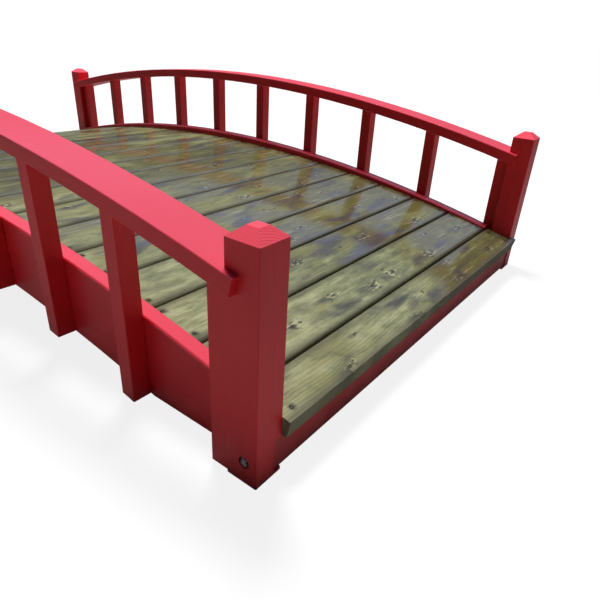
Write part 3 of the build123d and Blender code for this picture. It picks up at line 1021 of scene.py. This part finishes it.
class BRIDGE_OT_balusters(bpy.types.Operator):
    """Stand the balusters between each arch beam and its handrail"""

    bl_idname = "bridge.balusters"
    bl_label = "Balusters"

    def execute(self, context):
        railing = context.scene.bridge_railing
        material = paint_material(context)
        rail = ArchLine(railing.rail_crown_height, railing.rail_end_height, HALF_LENGTH)
        arch = ArchLine(railing.arch_crown_height, railing.foot_lift, railing.arch_span / 2)
        outer = (DOUBLER_BOX[0].x + DOUBLER_BOX[1].x) / 2
        spacing = 2 * outer / (railing.baluster_count + 1)
        tree = baluster_tree()
        for side in SIDES:
            low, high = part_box(side + "_balusters")
            settings = {
                "Count": railing.baluster_count, "First": spacing - outer, "Spacing": spacing,
                "Across": (low.y + high.y) / 2, "Width": railing.baluster_width,
                "Depth": railing.baluster_depth, "Edge Radius": railing.baluster_edge,
                "Rail Radius": rail.radius - railing.rail_thickness, "Rail Centre": rail.centre,
                "Arch Radius": arch.radius, "Arch Centre": arch.centre, "Foot Lift": railing.foot_lift,
                "Seed": BALUSTER_SEEDS[side], "Finish": material,
            }
            settle(grow(side + "_baluster_row", tree, settings), [side + "_balusters"])
        return {"FINISHED"}


class BRIDGE_OT_arch_beams(bpy.types.Operator):
    """Paint the two arch beams and their handrails"""

    bl_idname = "bridge.arch_beams"
    bl_label = "Arch beams and handrails"

    def execute(self, context):
        nodes = [f"{side}_{piece}" for side in SIDES for piece in ("arch_beam", "handrail")]
        paint_copies(nodes, paint_material(context), ALONG, BEAM_SEED)
        return {"FINISHED"}


class BRIDGE_OT_posts(bpy.types.Operator):
    """Paint the corner posts and the doublers beside them"""

    bl_idname = "bridge.posts"
    bl_label = "Posts and doublers"

    def execute(self, context):
        nodes = [f"{side}_{end}_{piece}" for side in SIDES for end in ENDS for piece in ("post", "doubler")]
        paint_copies(nodes, paint_material(context), UPRIGHT, POST_SEED)
        return {"FINISHED"}


class BRIDGE_OT_end_boards(bpy.types.Operator):
    """Paint the boards that close the ends of the beams"""

    bl_idname = "bridge.end_boards"
    bl_label = "End boards"

    def execute(self, context):
        # Their paint carries painted shade, for the end boards sit low by the ground
        material = paint_finish(context.scene.bridge_finish, "red_paint_splashed", END_BOARD_SHADE)
        paint_copies([end + "_end_board" for end in ENDS], material, ACROSS, END_BOARD_SEED)
        return {"FINISHED"}


class BRIDGE_OT_bearers(bpy.types.Operator):
    """Finish the three bearers under the deck"""

    bl_idname = "bridge.bearers"
    bl_label = "Deck bearers"

    def execute(self, context):
        material = bearer_finish(context.scene.bridge_finish)
        for seed, row in enumerate(("front", "middle", "back"), BEARER_SEED):
            node = row + "_deck_bearer"
            timber_copy(node, node + "_timber", material, ALONG, seed)
        return {"FINISHED"}


def seen_rays(graph):
    """Light path's values, and 1 for the rays that the camera sees by."""
    path = graph.outputs(graph.add("ShaderNodeLightPath"))
    return path, path["Is Camera Ray"].math("MAXIMUM", path["Is Transmission Ray"])


def floor_finish(stage):
    """Pale floor that the camera sees as white, with the bridge's soft shadow left on it."""
    graph, shader, material = new_material("studio_floor")
    path, seen = seen_rays(graph)
    shown = seen.math("MAXIMUM", path["Is Glossy Ray"])
    away = graph.coordinates()["Object"].vector("LENGTH")
    white = away.ramp(0.0, stage.floor_fade, stage.floor_near, stage.floor_far)
    share = seen.math("MAXIMUM", path["Is Glossy Ray"] * stage.floor_mirrored)
    graph.fill(shader, {"Base Color": graph.layered(stage.floor_bounce, (shown, stage.floor)),
                        "Roughness": 0.9, "Specular IOR Level": 0.0,
                        "Emission Color": (1.0, 1.0, 1.0, 1.0), "Emission Strength": share * white})
    return material


def dome_light(stage):
    """World: white to the camera, a pale sky in gloss, and soft light all round."""
    world = bpy.data.worlds.new("studio_dome")
    world.use_nodes = True
    graph = Graph(world.node_tree)
    path, seen = seen_rays(graph)
    _, _, up = graph.coordinates()["Generated"].split()
    sky = graph.layered(stage.dome_low, (up.ramp(0.26, 0.48), stage.dome_high))
    level = [channel * stage.dome_strength for channel in stage.dome]
    colour = graph.layered(level, (path["Is Glossy Ray"], sky), (seen, (1.0, 1.0, 1.0)))
    graph.fill(world.node_tree.nodes["Background"], {"Color": colour})
    bpy.context.scene.world = world


def camera_matrix(stage):
    """Camera's place and axes, from its turn round the bridge, its tilt and its roll."""
    turn, tilt, roll = stage.camera_turn, stage.camera_tilt, stage.camera_roll
    back = Vector((math.sin(turn) * math.cos(tilt), -math.cos(turn) * math.cos(tilt), math.sin(tilt)))
    right = Vector((0.0, 0.0, 1.0)).cross(back).normalized()
    up = back.cross(right)
    axes = Matrix((math.cos(roll) * right + math.sin(roll) * up,
                   math.cos(roll) * up - math.sin(roll) * right, back)).transposed()
    return Matrix.Translation(stage.camera_place) @ axes.to_4x4()


class BRIDGE_OT_stage(bpy.types.Operator):
    """Set up the floor, the lamp, the dome and the camera"""

    bl_idname = "bridge.stage"
    bl_label = "Stage"

    def execute(self, context):
        stage = context.scene.bridge_stage
        floor_mesh = bpy.data.meshes.new("floor")
        reach = stage.floor_reach
        corners = [(-reach, -reach, 0.0), (reach, -reach, 0.0), (reach, reach, 0.0), (-reach, reach, 0.0)]
        floor_mesh.from_pydata(corners, [], [(0, 1, 2, 3)])
        floor_mesh.materials.append(floor_finish(stage))
        floor = bpy.data.objects.new("floor", floor_mesh)
        context.scene.collection.objects.link(floor)
        dome_light(stage)

        lamp_data = bpy.data.lights.new("soft_lamp", "AREA")
        lamp_data.shape = "SQUARE"
        lamp_data.size = stage.lamp_size
        lamp_data.energy = stage.lamp_power
        lamp = bpy.data.objects.new("soft_lamp", lamp_data)
        lamp.location = stage.lamp_place
        lamp.rotation_mode = "QUATERNION"
        lamp.rotation_quaternion = lamp.location.to_track_quat("Z", "Y")
        lamp.visible_glossy = False
        context.scene.collection.objects.link(lamp)

        camera_data = bpy.data.cameras.new("camera")
        camera_data.lens = stage.camera_lens
        camera_data.sensor_width = SENSOR_WIDTH
        camera = bpy.data.objects.new("camera", camera_data)
        camera.matrix_world = camera_matrix(stage)
        context.scene.collection.objects.link(camera)
        context.scene.camera = camera
        context.scene.view_settings.view_transform = "Standard"
        return {"FINISHED"}


OPERATORS = (BRIDGE_OT_deck, BRIDGE_OT_deck_screws, BRIDGE_OT_arch_beams, BRIDGE_OT_balusters,
             BRIDGE_OT_posts, BRIDGE_OT_post_bolts, BRIDGE_OT_end_boards, BRIDGE_OT_bearers, BRIDGE_OT_stage)
SETTINGS = {
    "bridge_deck": DeckSettings,
    "bridge_railing": RailingSettings,
    "bridge_fixing": FixingSettings,
    "bridge_finish": FinishSettings,
    "bridge_stage": StageSettings,
}


class BRIDGE_PT_panel(bpy.types.Panel):
    """Sidebar panel that lists the bridge's pieces and settings"""

    bl_idname = "BRIDGE_PT_panel"
    bl_label = "Moon Bridge"
    bl_space_type = "VIEW_3D"
    bl_region_type = "UI"
    bl_category = "Moon Bridge"

    def draw(self, context):
        for operator in OPERATORS:
            self.layout.operator(operator.bl_idname)
        for name, group in SETTINGS.items():
            box = self.layout.box()
            for setting in group.__annotations__:
                box.prop(getattr(context.scene, name), setting)


CLASSES = (*SETTINGS.values(), *OPERATORS, BRIDGE_PT_panel)


def register():
    for entry in CLASSES:
        bpy.utils.register_class(entry)
    for name, group in SETTINGS.items():
        setattr(bpy.types.Scene, name, PointerProperty(type=group))


def unregister():
    for name in SETTINGS:
        delattr(bpy.types.Scene, name)
    for entry in reversed(CLASSES):
        bpy.utils.unregister_class(entry)


def main():
    """Builds every piece and the stage."""
    register()
    for operator in OPERATORS:
        category, action = operator.bl_idname.split(".")
        getattr(getattr(bpy.ops, category), action)()


if __name__ == "__main__":
    main()
